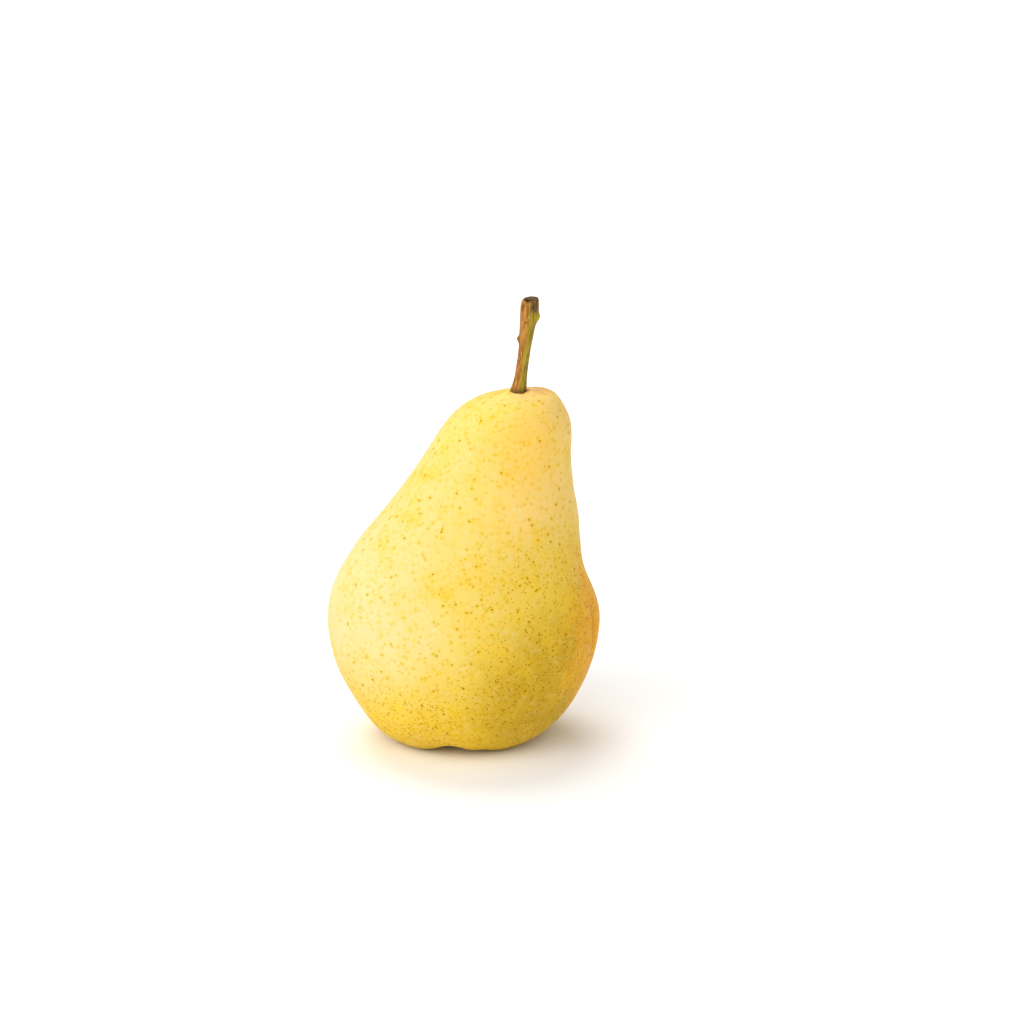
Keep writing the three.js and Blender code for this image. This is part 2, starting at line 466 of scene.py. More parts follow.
@dataclass(frozen=True)
class Lenticels:
    """One kind of breathing pore in the skin, scattered through the flesh as balls that the skin cuts.

    Attributes:
        cell: The mean distance between pores within the flesh, in mm.
        core: A whole pore's radius, in mm.
        halo: The radius of the stained skin round it, in mm.
        missing: The share of pores that are not there.
        core_heart, halo_heart: The shares of the core's radius within which core and stain are full.
    """

    cell: float
    core: float
    halo: float
    missing: float
    core_heart: float = 0.3
    halo_heart: float = 0.4

    def draw(self, recipe: Recipe) -> tuple[Sum, Sum, Sum]:
        """Adds the pores to a recipe.

        Returns:
            The pores' cores, their halos, and a random value for each pore, all from 0 to 1.
        """
        cells = recipe.node(
            "ShaderNodeTexVoronoi",
            {"voronoi_dimensions": "3D", "feature": "F1"},
            {"Vector": recipe.place, "Scale": 1 / (self.cell * MM), "Randomness": 1.0},
        )
        away = Sum(recipe, cells.outputs["Distance"]) * self.cell
        parts = recipe.node("ShaderNodeSeparateColor", None, {0: cells.outputs["Color"]}).outputs
        kept = Sum(recipe, parts["Red"]) > self.missing
        core = away.rise(self.core, self.core * self.core_heart) * kept
        halo = away.rise(self.halo, self.core * self.halo_heart) * kept
        return core, halo, Sum(recipe, parts["Green"])


class SkinMap:
    """The fields that the skin's colours follow.

    Attributes:
        x, y, z: The place, in mm of the frame.
        broad, patch, mottle, fine: Noise round 0, from the widest to the finest.
        across, up: The place along X and Z, swayed so that no stain ends in a straight line.
        low, neck, right: 1 on the base, on the neck and on the side that the neck leans to, else 0.
        ripe, shade: 1 on that side below the neck, and on that side near the base, else 0. The olive laid on
            shade is partly the skin's own tone and partly painted shade.
        calyx: The uneven distance from the middle of the calyx, in mm.
    """

    CALYX_MIDDLE = Vector((0.0, 0.0, 5.0))

    def __init__(self, recipe: Recipe) -> None:
        """Adds the fields to a recipe."""
        self.x, self.y, self.z = recipe.axes()
        self.broad = recipe.noise(0.024, 2.0) - HALF
        self.patch = recipe.noise(0.0075, 3.0, 0.6) - HALF
        self.mottle = recipe.noise(0.0024, 3.0, 0.6) - HALF
        self.fine = recipe.noise(0.0009, 2.0, 0.6) - HALF
        self.across = self.x + self.broad * 26.0 + self.patch * 7.0
        self.up = self.z + self.broad * 24.0 + self.patch * 6.0
        self.low = (self.up - self.x * 0.25).rise(40.0, 10.0)
        self.neck = self.up.rise(48.0, 68.0)
        self.right = self.across.rise(-8.0, 24.0)
        self.ripe = self.right * (1.0 - self.neck)
        # Painted shade in part: the lower right near the base, where the olive stands both for the skin's tone
        # and for shade.
        lower_right = self.across.rise(-4.0, 20.0) * self.up.rise(46.0, 24.0)
        self.shade = lower_right * (self.z.rise(1.0, 12.0) * 0.5 + 0.5)
        self.calyx = self.distance(self.CALYX_MIDDLE) + self.mottle * 9.0 + self.patch * 6.0

    def distance(self, point: Vector) -> Sum:
        """How far the surface is from a point, in mm."""
        return ((self.x - point.x) ** 2 + (self.y - point.y) ** 2 + (self.z - point.z) ** 2) ** 0.5


@dataclass(frozen=True)
class SkinFinish:
    """Waxy pear skin: cream to gold, freckled with pores, russet where it meets the stem and the calyx.

    Attributes:
        stem_foot: Where the stem's foot is, in metres of the frame.
        warm_middle, blush_shift: Where the warm patch is, and the blush from the stem's foot, in mm.
        sparse_strength: How strong the pores are where the skin is least ripe.
    """

    stem_foot: Vector
    cream: str = "#dfce84"
    yellow: str = "#ebcf6c"
    peach: str = "#f5cf78"
    gold: str = "#e9c548"
    deep: str = "#e6c137"
    # Olive: partly the skin's own tone, partly painted shade on the lower right.
    olive: str = "#c8a22a"
    orange: str = "#eba81f"
    lemon: str = "#ecc534"
    # Pale cream: the skin's own pale patches, and also a painted highlight on the left of the belly.
    pale: str = "#e8d6a0"
    russet: str = "#8d5f26"
    blush: str = "#d99a6a"
    warm: str = "#f4c654"
    rust: str = "#b2671c"
    halo_tint: str = "#fdf18c"
    # The pores' core tint, also used as painted shade in the crease.
    core_tint: str = "#d3c455"
    dark_tint: str = "#b0a25a"
    common: Lenticels = Lenticels(1.4, 0.32, 0.8, 0.05)
    bold: Lenticels = Lenticels(2.2, 0.4, 1.0, 0.0)
    close: Lenticels = Lenticels(0.95, 0.27, 0.5, 0.05)
    streak_scale: Triple = (420.0, 420.0, 60.0)
    warm_middle: Triple = (15.0, -15.0, 80.0)
    scuff_scale: Triple = (900.0, 900.0, 260.0)
    blush_shift: Triple = (4.6, 0.4, 0.6)
    sparse_strength: float = 0.42
    relief_depth: float = 0.00025
    gloss_level: float = 0.04
    flesh_share: float = 0.08
    flesh_radius: Triple = (1.0, 0.6, 0.25)
    flesh_scale: float = 0.002

    def build(self) -> Material:
        """The finished material."""
        recipe = Recipe("pear_skin")
        at = SkinMap(recipe)
        colour = self._mottled(recipe, at, self._ground(recipe, at))
        blush_at = self.stem_foot / MM + Vector(self.blush_shift)
        blush = at.distance(blush_at).rise(6.0, 1.6) * (at.mottle * 2.0 + 0.75).clamped()
        colour = self._stained(recipe, at, colour, blush)
        colour, pits, bold_core = self._freckled(recipe, at, colour, blush)
        return recipe.surface(
            colour,
            0.46 + at.patch * 0.12 + bold_core * 0.15 + at.calyx.rise(14.0, 6.5) * 0.25,
            at.mottle * 0.1 + at.fine * 0.3 - pits * 0.4,
            self.relief_depth,
            Subsurface_Weight=self.flesh_share,
            Subsurface_Radius=self.flesh_radius,
            Subsurface_Scale=self.flesh_scale,
            Specular_IOR_Level=self.gloss_level,
        )

    def _ground(self, recipe: Recipe, at: SkinMap) -> Socket:
        """The broad colours, from cream on the left to orange on the right flank, with olive on the lower
        right that is partly painted shade.
        """
        streak = recipe.noise(1.0, 3.0, 0.6, recipe.scaled(recipe.place, self.streak_scale)) - HALF
        flank = (at.x + at.patch * 8.0 + streak * 10.0).rise(24.0, 34.0)
        flank *= (at.z + at.patch * 16.0).rise(62.0, 46.0)
        colour = recipe.mix(at.across.rise(-30.0, 14.0), self.cream, self.yellow)
        return recipe.layered(colour, (
            (at.right * at.neck, self.peach),
            (at.ripe * 0.9, self.gold),
            (at.low * 0.95, self.deep),
            # Olive on the lower right: partly the skin's own tone, partly painted shade.
            (at.shade, self.olive),
            (flank * 0.95, self.orange),
        ))

    def _mottled(self, recipe: Recipe, at: SkinMap, colour: Socket) -> Socket:
        """The skin with lemon, warm and pale patches, a painted highlight on the left, fine scuffs, and the
        right flank's crease with painted shade.
        """
        lemon = (at.patch + at.mottle * 0.6 + at.low * 0.04).rise(-0.02, 0.24)
        warm = at.distance(Vector(self.warm_middle)) + at.patch * 14.0 + at.broad * 10.0
        # Painted highlight: a paler cream on the left of the belly, where the lamps' soft highlight falls.
        painted_highlight = at.across.rise(-2.0, -20.0) * at.z.rise(16.0, 32.0) * at.z.rise(66.0, 46.0)
        pale = (at.mottle + at.fine * 0.4 + at.patch * -0.4).rise(0.0, 0.22)
        scuff = recipe.noise(1.0, 3.0, 0.6, recipe.scaled(recipe.place, self.scuff_scale)) - HALF
        worn = scuff.rise(0.08, 0.2) * at.right * at.z.rise(40.0, 22.0)
        crease = recipe.mark("crease")
        colour = recipe.layered(colour, (
            (lemon * (0.65 - at.shade * 0.4), self.lemon),
            (warm.rise(14.0, 4.0) * 0.7, self.warm),
            (painted_highlight * 0.4, self.pale),
            (pale * (0.36 - (at.right + at.low).at_most(1.0) * 0.2), self.pale),
            (worn * 0.05, self.pale),
            (crease * 0.9, self.orange),
        ))
        # Painted shade: the crease's fold is darkened with the core tint.
        return recipe.tint(crease.rise(0.35, 1.0) * 0.5, colour, self.core_tint)

    def _stained(self, recipe: Recipe, at: SkinMap, colour: Socket, blush: Sum) -> Socket:
        """The skin with the blush and the russet ring at the stem's foot, and russet round the calyx."""
        ring = at.distance(self.stem_foot / MM).rise(3.6, 2.2) * (at.mottle * 1.5 + 0.8).clamped()
        return recipe.layered(colour, (
            (blush * 0.9, self.blush),
            (ring * 0.65, self.russet),
            (at.calyx.rise(12.5, 6.0) * 0.75, self.russet),
        ))

    def _freckled(self, recipe: Recipe, at: SkinMap, colour: Socket, blush: Sum) -> tuple[Socket, Sum, Sum]:
        """Draws the pores, closer and darker where the skin is ripe.

        Args:
            recipe: The skin's recipe.
            at: Its fields.
            colour: The skin without pores.
            blush: Where the pores by the stem are brown.

        Returns:
            The colour with pores, how deep their pits are, and the boldest pores' cores.
        """
        core_a, halo_a, tone_a = self.common.draw(recipe)
        core_b, halo_b, tone_b = self.bold.draw(recipe)
        core_c, halo_c, tone_c = self.close.draw(recipe)
        spread = at.low * 0.9 + at.ripe * 0.9 + at.calyx.rise(20.0, 12.0) + at.patch.rise(0.02, 0.2) * 0.4
        crowd = spread.clamped()
        strength = self.sparse_strength + (at.ripe + at.low).at_most(1.0) * (1.0 - self.sparse_strength)
        tints = (
            (halo_a * (tone_a * 0.6 + 0.2), self.halo_tint),
            (halo_b * (tone_b * 0.6 + 0.4), self.halo_tint),
            (halo_c * crowd * 0.6, self.halo_tint),
            (core_a * (tone_a * 0.9 + 0.3) * strength, self.core_tint),
            (core_c * crowd * (tone_c * 0.8 + 0.4), self.core_tint),
            (core_c * crowd * at.ripe * tone_c.rise(0.0, 0.7), self.dark_tint),
            (core_b * (tone_b * 0.6 + 0.5) * strength, self.core_tint),
            (core_b * tone_b.rise(0.5, 0.95) * strength * 0.8, self.dark_tint),
            (core_b**3 * tone_b.rise(0.15, 0.5) * (1.25 - strength), self.dark_tint),
        )
        for share, tint in tints:
            colour = recipe.tint(share, colour, tint)
        small = core_a + core_c
        brown = core_c * at.calyx.rise(18.0, 9.0) * 0.8 + small * blush
        rusty = (at.x + at.patch * 10.0).rise(4.0, -6.0) * at.y.rise(4.0, -8.0)
        rusty *= (at.z + at.patch * 10.0).rise(26.0, 14.0)
        browned = ((brown.clamped(), self.russet), ((small * rusty * 0.8).clamped(), self.rust))
        colour = recipe.layered(colour, browned)
        return colour, core_a * 0.5 + core_c * crowd * 0.4 + core_b * 0.6, core_b


@dataclass(frozen=True)
class BarkFinish:
    """The stem's bark: ochre on one side, olive on the other, streaked lengthwise, woody in the torn end, with
    near-black painted shade in the pit there.
    """

    ochre: str = "#c08a34"
    amber: str = "#a56a1e"
    olive: str = "#957a10"
    dark: str = "#4a2f0c"
    wood: str = "#6e5129"
    # Near-black painted shade for the pit of the torn end.
    hollow: str = "#1d120a"
    pale: str = "#e0bd78"
    lime: str = "#bdb41c"
    streak_scale: Triple = (2.2, 2.2, 0.2)
    fibre_scale: Triple = (6.0, 6.0, 0.8)
    blotch_size: float = 1.6
    relief_depth: float = 0.00035
    roughness: float = 0.6
    gloss_level: float = 0.3

    def build(self) -> Material:
        """The finished material."""
        recipe = Recipe("stem_bark")
        grain = recipe.node("ShaderNodeAttribute", {"attribute_name": "grain"}).outputs["Vector"]
        streak = recipe.noise(1.0, 3.0, 0.65, recipe.scaled(grain, self.streak_scale))
        fibre = recipe.noise(1.0, 3.0, 0.7, recipe.scaled(grain, self.fibre_scale))
        blotch = recipe.noise(self.blotch_size, 3.0, 0.6, grain)
        side = recipe.mark("green") + (streak - HALF) * 0.9 + (blotch - HALF) * 1.3
        green = recipe.mix(streak.rise(0.5, 0.7) * 0.6, self.olive, self.lime)
        woody = (recipe.mark("wood") + (fibre - HALF) * 1.2 + (blotch - HALF) * 0.8).rise(0.35, 0.75)
        torn = recipe.mix(streak.rise(0.42, 0.56), self.dark, self.wood)
        colour = recipe.mix(streak.rise(0.42, 0.62), self.amber, self.ochre)
        layers = (
            (side.rise(0.38, 0.62), green),
            (recipe.mark("line") * streak.rise(0.3, 0.55), self.lime),
            (blotch.rise(0.56, 0.75) * 0.4, self.pale),
            (streak.rise(0.47, 0.3) * 0.8, self.dark),
            (fibre.rise(0.6, 0.8) * 0.4, self.pale),
            (blotch.rise(0.4, 0.26) * 0.75, self.dark),
            (recipe.mark("foot") * 0.75, self.dark),
            (recipe.mark("lime"), self.lime),
            (woody, torn),
            (woody * fibre.rise(0.55, 0.7) * 0.7, self.pale),
            # Painted shade: near-black in the pit of the torn end.
            (recipe.mark("hollow") + (fibre - 0.6) * 0.4, self.hollow),
        )
        colour = recipe.layered(colour, layers)
        rough = self.roughness + woody * 0.2
        relief = streak * 0.7 + fibre * 0.4
        return recipe.surface(colour, rough, relief, self.relief_depth, Specular_IOR_Level=self.gloss_level)


@dataclass(frozen=True)
class DriedFinish:
    """Dry plant matter: dark and warm brown, with paler grey where it is frayed, as strongly as edge says."""

    name: str
    dark: str
    warm: str
    grey: str
    edge: float
    relief_depth: float = 0.00018
    roughness: float = 0.85
    gloss_level: float = 0.25

    def build(self) -> Material:
        """The finished material."""
        recipe = Recipe(self.name)
        coarse = recipe.noise(0.0011, 3.0, 0.6)
        fine = recipe.noise(0.0003, 2.0, 0.6)
        colour = recipe.mix(coarse.rise(0.4, 0.65), self.dark, self.warm)
        frayed = recipe.mark("frayed") * self.edge + (fine - HALF) * 0.8 + (coarse - HALF)
        colour = recipe.mix(frayed.rise(0.25, 1.0), colour, self.grey)
        rough = self.roughness - coarse * 0.2
        relief = coarse * 0.5 + fine * 0.5
        return recipe.surface(colour, rough, relief, self.relief_depth, Specular_IOR_Level=self.gloss_level)


@dataclass(frozen=True)
class FloorFinish:
    """A plain, nearly white, matt table."""

    tone: str = "#fcfcfc"

    def build(self) -> Material:
        """The finished material."""
        inputs = {"Base Color": linear(self.tone), "Roughness": 0.9, "Specular IOR Level": 0.0}
        return Recipe("pale_table").ended(inputs)


# ---- the pear


@dataclass
class Fruit:
    """The fruit that grew as one piece: basin, lobes, belly, leaning neck and crown.

    Sizes are in mm and turns in degrees from +X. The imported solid, with fewer steps, sets the scale.
    """

    outline: Outline = (
        (0.0, 6.4), (3.0, 6.2), (6.0, 5.1), (8.8, 2.7), (11.6, 0.5), (15.0, -0.25), (19.0, 0.6),
        (23.0, 3.0), (26.7, 7.2), (30.1, 12.9), (32.9, 19.4), (34.7, 26.4), (35.1, 33.4), (34.0, 40.2),
        (31.6, 46.6), (28.7, 52.8), (25.8, 58.8), (23.2, 64.6), (20.8, 70.4), (18.6, 76.2), (16.8, 81.8),
        (14.4, 86.8), (10.8, 90.2), (6.6, 91.6), (3.0, 91.6), (0.0, 91.0),
    )
    steps: int = 9
    sides: int = 320
    packed_steps: int = 2
    packed_sides: int = 52
    oval: float = 0.975
    lean_height: float = 47.5
    lean_slope: float = 0.325
    lean_ease: float = 2.5
    crown_tilt: float = 0.07
    crown: Span = (84.0, 91.0)
    mounds: Sequence[Mound] = (Mound(6.0, 0.0, 0.8, 4.2), Mound(-8.0, 0.0, 0.25, 4.0))
    grooves: Sequence[Groove] = (
        Groove(-99, 2.2, 15), Groove(-74, 0.7, 9), Groove(-18, 1.4, 16),
        Groove(46, 1.9, 15), Groove(112, 1.3, 14), Groove(178, 1.7, 16),
    )
    groove_radius: float = 16.0
    groove_spread: float = 9.0
    groove_fade: Span = (5.0, 20.0)
    axis_calm: float = 5.0
    bumps: Sequence[Bump] = (
        Bump(0, 43.5, -1.1, 38, 7), Bump(2, 33, 0.35, 20, 8), Bump(0, 60, 0.5, 30, 5),
        Bump(-8, 13, 0.45, 30, 12), Bump(0, 88.5, -0.7, 50, 3), Bump(180, 89.5, 0.6, 50, 2.5),
        Bump(180, 47, -0.6, 34, 5), Bump(75, 60, 0.6, 34, 13), Bump(128, 36, 0.45, 26, 14),
        Bump(160, 62, -0.5, 24, 12), Bump(198, 11, -0.5, 24, 7), Bump(60, 22, -0.5, 22, 9),
    )
    crease: Bump = Bump(-14, 31, -0.7, 3.2, 9)
    fold: Bump = Bump(2, 31, 0.3, 9, 10)
    collar_radius: float = 2.4
    collar_depth: float = 0.25
    collar_wide: float = 0.35
    lips: Sequence[Mound] = (
        Mound(-2.6, -2.2, 1.4, 2.1), Mound(3.1, -2.7, 0.75, 1.8), Mound(0.2, -3.0, 0.35, 1.0),
        Mound(-2.5, 0.8, -1.3, 1.9), Mound(3.6, 2.0, 0.3, 2.4),
    )
    knob_count: int = 5
    knob_turn: float = 20.0
    knob_radius: float = 6.2
    knob_wide: float = 1.5
    knob_drop: float = 0.55
    pleat_count: int = 23
    pleat_beat: int = 7
    pleat_beat_turn: float = 40.0
    pleat_radius: float = 9.0
    pleat_wide: float = 3.5
    pleat_drop: float = 0.16
    pucker_fade: Span = (8.0, 12.0)
    roll: Ripple = Ripple(0.22, 13.0, 3.0)
    dimple: Ripple = Ripple(0.06, 3.5, 8.0)

    def lean(self, height: np.ndarray) -> np.ndarray:
        """How far the middle of the fruit has moved to +X at a height."""
        above = (height - self.lean_height) / self.lean_ease
        return self.lean_slope * self.lean_ease * np.log1p(np.exp(above))

    def grow(self, places: np.ndarray, fine: bool = True) -> np.ndarray:
        """Turns the regular body into the grown one.

        Args:
            places: The regular body's vertices.
            fine: Whether it gets its crease, ripples, collar and puckers too.

        Returns:
            Their places once it has flanks, lobes, an oval section, a lean, a crown and resting flats.
        """
        x, y, z = places.T
        degrees = np.degrees(np.arctan2(y, x))
        plain = np.hypot(x, y)
        rise = sum(bump.lift(degrees, z) for bump in self.bumps)
        calm = smoothstep(0.0, self.axis_calm, plain)
        sag = np.zeros_like(z)
        if fine:
            rise += self.crease.lift(degrees, z) + self.fold.lift(degrees, z)
            rise += (self.roll.lift(places) + self.dimple.lift(places)) * calm
            sag = self.puckering(degrees, plain) * (1.0 - smoothstep(*self.pucker_fade, z))
            collar = self.collar_depth * bell(plain - self.collar_radius, self.collar_wide)
            sag += (collar - sum(lip.lift(x, y) for lip in self.lips)) * (z > self.crown[0])
        radius = np.where(plain > 0, plain + rise, 0.0)
        share = np.divide(radius, plain, out=np.ones_like(plain), where=plain > 1e-9)
        near = bell(radius - self.groove_radius, self.groove_spread) * calm
        near *= 1.0 - smoothstep(*self.groove_fade, z)
        depth = sum(g.depth * bell(turn_from(degrees, g.at), g.wide) for g in self.grooves)
        crown = smoothstep(*self.crown, z)
        wide = x * share
        deep = y * share * self.oval
        mounds = sum(mound.lift(wide, deep) for mound in self.mounds)
        high = z + depth * near + (self.crown_tilt * wide + mounds) * crown - sag
        return np.column_stack([wide + self.lean(z), deep, np.maximum(high, 0.0)])

    def puckering(self, degrees: np.ndarray, radius: np.ndarray) -> np.ndarray:
        """How far the basin's wall hangs down in fleshy knobs between the sepals and in fine pleats."""
        knobs = 0.5 - 0.5 * np.cos(np.radians(self.knob_count * (degrees - self.knob_turn)))
        beat = np.sin(np.radians(self.pleat_beat * degrees + self.pleat_beat_turn))
        pleats = np.sin(np.radians(self.pleat_count * degrees)) * beat
        knob = self.knob_drop * knobs * bell(radius - self.knob_radius, self.knob_wide)
        return knob + self.pleat_drop * pleats * bell(radius - self.pleat_radius, self.pleat_wide)

    def build(self, material: Material, placement: Placement) -> Piece:
        """Makes the fruit.

        Args:
            material: The skin.
            placement: Where design mm go.

        Returns:
            The piece.
        """
        body = spun(smooth_outline(self.outline, self.steps), self.sides)
        x, y, z = places_of(body).T
        crease = self.crease.lift(np.degrees(np.arctan2(y, x)), z) / self.crease.rise
        reshape(body, self.grow)
        return show(body, "pear_fruit", "fruit", material, placement, {"crease": crease})

    def find_placement(self) -> Placement:
        """Where design mm go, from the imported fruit's box and the grown body's."""
        body = spun(smooth_outline(self.outline, self.packed_steps), self.packed_sides)
        grown = self.grow(places_of(body), fine=False)
        body.free()
        low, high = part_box("fruit")
        scale = (high.x - low.x) / np.ptp(grown[:, 0])
        middle = (grown.max(0) + grown.min(0)) / 2
        target = (low + high) / 2 / scale
        return Placement(Vector((target.x - middle[0], target.y - middle[1], 0.0)), scale)


@dataclass
class Stem:
    """The woody stalk: a flared foot, a slim ridged shaft, and a club end torn from its spur.

    Heights are above the fruit's dip, in mm. Turns are in degrees from +X, and the ridges' in radians.
    """

    outline: Outline = (
        (0.0, -2.4), (1.8, -2.4), (2.1, -1.2), (2.15, 0.2), (1.95, 1.5), (1.7, 3.5), (1.5, 6.4),
        (1.5, 9.6), (1.6, 12.5), (1.85, 15.7), (2.12, 18.7), (2.35, 21.4), (2.4, 23.3), (2.15, 24.5),
        (1.7, 24.95), (1.25, 25.0), (0.7, 24.85), (0.0, 24.8),
    )
    steps: int = 8
    sides: int = 64
    base_x: float = 14.2
    base_z: float = 91.5
    slope: float = 0.175
    curve: float = 0.0018
    back_slope: float = 0.02
    spur: Bump = Bump(-12, 20.1, 0.8, 24, 1.3)
    bud: Bump = Bump(176, 14.4, 0.6, 22, 0.8)
    facet: Bump = Bump(-46, 22.8, -0.3, 42, 1.9)
    ridge: float = 0.07
    ridge_count: int = 7
    ridge_twist: float = 0.05
    side_count: int = 4
    side_share: float = 0.6
    side_twist: float = -0.11
    bark: Ripple = Ripple(0.07, 0.55, 5.0)
    bark_stretch: float = 0.25
    torn: Ripple = Ripple(0.3, 1.1, 11.0)
    torn_slant: float = 0.15
    torn_rise: Span = (23.2, 24.6)
    pit: Mound = Mound(-0.35, -0.95, -1.2, 0.85)
    facet_rise: Span = (19.8, 22.6)
    green_at: float = -26.0
    green_twist: float = -0.45
    line_turn: float = -38.0

    def grow(self, places: np.ndarray) -> np.ndarray:
        """Bends and ridges the straight stem."""
        x, y, h = places.T
        turn = np.arctan2(y, x)
        degrees = np.degrees(turn)
        plain = np.hypot(x, y)
        rise = sum(bump.lift(degrees, h) for bump in (self.spur, self.bud, self.facet))
        ridges = np.sin(self.ridge_count * (turn + self.ridge_twist * h))
        sides = self.side_share * np.sin(self.side_count * turn + self.side_twist * h + 1.0)
        bark = self.bark.lift(places * np.array([1.0, 1.0, self.bark_stretch]))
        rise = rise + self.ridge * (ridges + sides) + bark
        share = 1.0 + rise * smoothstep(0.0, 1.2, plain) / np.maximum(plain, 0.5)
        torn = self.torn.lift(places) + self.torn_slant * np.cos(turn - 0.3)
        ragged = smoothstep(*self.torn_rise, h) * (torn + self.pit.lift(x, y))
        middle = self.base_x + self.slope * h - self.curve * h * h
        high = self.base_z + h + ragged
        return np.column_stack([middle + x * share, y * share + self.back_slope * h, high])

    def marks(self, straight: np.ndarray) -> dict[str, np.ndarray]:
        """What the bark's finish reads at each vertex of the straight stem."""
        x, y, h = straight.T
        degrees = np.degrees(np.arctan2(y, x))
        facet = bell(turn_from(degrees, self.facet.at), self.facet.wide) * smoothstep(*self.facet_rise, h)
        core = (1.0 - smoothstep(1.5, 2.2, np.hypot(x, y))) * (h > 23.0)
        green_middle = self.green_at + self.green_twist * h
        return {
            "grain": straight,
            "green": 1.0 - smoothstep(25, 85, np.abs(turn_from(degrees, green_middle))),
            "line": bell(turn_from(degrees, green_middle + self.line_turn), 9) * bell(h - 7.0, 7.0),
            "foot": 1.0 - smoothstep(0.2, 2.6, h),
            "wood": np.clip(facet + core, 0, 1),
            # Where the bark paints near-black shade: the pit of the torn end.
            "hollow": np.clip(1.5 * self.pit.lift(x, y) / self.pit.rise, 0, 1) * (h > 24.0),
            "lime": bell(turn_from(degrees, self.spur.at), 22) * bell(h - self.spur.height + 0.2, 1.1),
        }

    def build(self, material: Material, placement: Placement) -> Piece:
        """Makes the stem.

        Args:
            material: The bark.
            placement: Where design mm go.

        Returns:
            The piece.
        """
        body = spun(smooth_outline(self.outline, self.steps), self.sides)
        marks = self.marks(places_of(body))
        reshape(body, self.grow)
        return show(body, "pear_stem", "stem", material, placement, marks)


@dataclass
class Sepals:
    """The five dried sepals, spread on the basin's wall and curled at their tips.

    Sizes are in mm and slopes in radians. longer, curlier, sweep and rolled_more say how much they differ.
    """

    count: int = 5
    length: float = 5.9
    width: float = 3.4
    thick: float = 0.4
    root_radius: float = 4.3
    root_z: float = 5.05
    turn: float = 20.0
    drop: float = 0.76
    curl: float = -0.18
    tip_lift: float = 0.3
    longer: float = 0.07
    curlier: float = 0.1
    sweep: float = 0.55
    ragged: float = 0.3
    crumple: float = 0.3
    rolled: float = 0.5
    rolled_more: float = 0.35
    rib: float = 0.22
    rib_wide: float = 0.2
    along_steps: int = 18
    across_steps: int = 10

    def sheet(self) -> Body:
        """A flat square sheet, one by one, with a sepal's steps."""
        sheet = bmesh.new()
        bmesh.ops.create_grid(sheet, x_segments=self.along_steps, y_segments=self.across_steps, size=0.5)
        return sheet

    @staticmethod
    def shares(places: np.ndarray) -> tuple[np.ndarray, np.ndarray]:
        """How far along a sepal the sheet's places are, from 0 to 1, and across it, from -1 to 1."""
        return places[:, 0] + 0.5, places[:, 1] * 2

    def blade(self, index: int) -> Body:
        """Makes one sepal's sheet.

        Args:
            index: Which sepal it is.

        Returns:
            The sheet, in place but not yet thick.
        """
        longer = 1 + self.longer * math.sin(2.3 * index + 0.7)
        curl = self.curl + self.curlier * math.sin(1.9 * index)
        sweep = self.sweep * math.sin(2.1 * index + 0.4)
        rolled = self.rolled + self.rolled_more * math.sin(1.7 * index)

        def move(places: np.ndarray) -> np.ndarray:
            """Carries the flat sheet's places to the sepal's."""
            t, s = self.shares(places)
            along = t * self.length * longer
            taper = 0.05 + 0.95 * np.clip(1 - t**1.6, 0, 1) ** 0.85 * (0.85 + 0.8 * t)
            edge = Ripple(self.ragged, 1.0, 20.0 + index).lift(places * 9.0)
            side = s * self.width / 2 * taper * (1 + edge * smoothstep(0.1, 0.8, t)) + sweep * t * t
            fold = rolled * np.abs(s) ** 1.5 * taper - self.rib * bell(s, self.rib_wide) * (1 - t)
            crumple = Ripple(self.crumple, 1.0, 40.0 + index).lift(places * 5.0)
            angle = self.drop + curl * t / 2
            down = along * np.sin(angle) + fold + crumple * smoothstep(0.0, 0.5, t)
            down -= self.tip_lift * smoothstep(0.7, 1.0, t)
            return np.column_stack([self.root_radius + along * np.cos(angle), side, self.root_z - down])

        sheet = self.sheet()
        reshape(sheet, move)
        heading = math.radians(self.turn) + index * 2 * math.pi / self.count
        bmesh.ops.rotate(sheet, verts=sheet.verts[:], cent=(0, 0, 0), matrix=Matrix.Rotation(heading, 3, "Z"))
        return sheet

    def build(self, material: Material, placement: Placement) -> list[Piece]:
        """Makes the sepals.

        Args:
            material: Their dry finish.
            placement: Where design mm go.

        Returns:
            The pieces.
        """
        flat = self.sheet()
        t, s = self.shares(places_of(flat))
        flat.free()
        marks = {"frayed": np.clip(np.abs(s) ** 8 + smoothstep(0.88, 1.0, t), 0, 1)}
        made = []
        for index in range(self.count):
            node = f"sepal_{index + 1}"
            sheet = self.blade(index)
            piece = show(sheet, f"calyx_{node}", node, material, placement, marks)
            body = piece.modifiers.new("thickness", "SOLIDIFY")
            body.thickness = self.thick * placement.scale
            body.offset = 0.0
            smooth = piece.modifiers.new("smooth", "SUBSURF")
            smooth.levels = smooth.render_levels = 1
            made.append(piece)
        return made


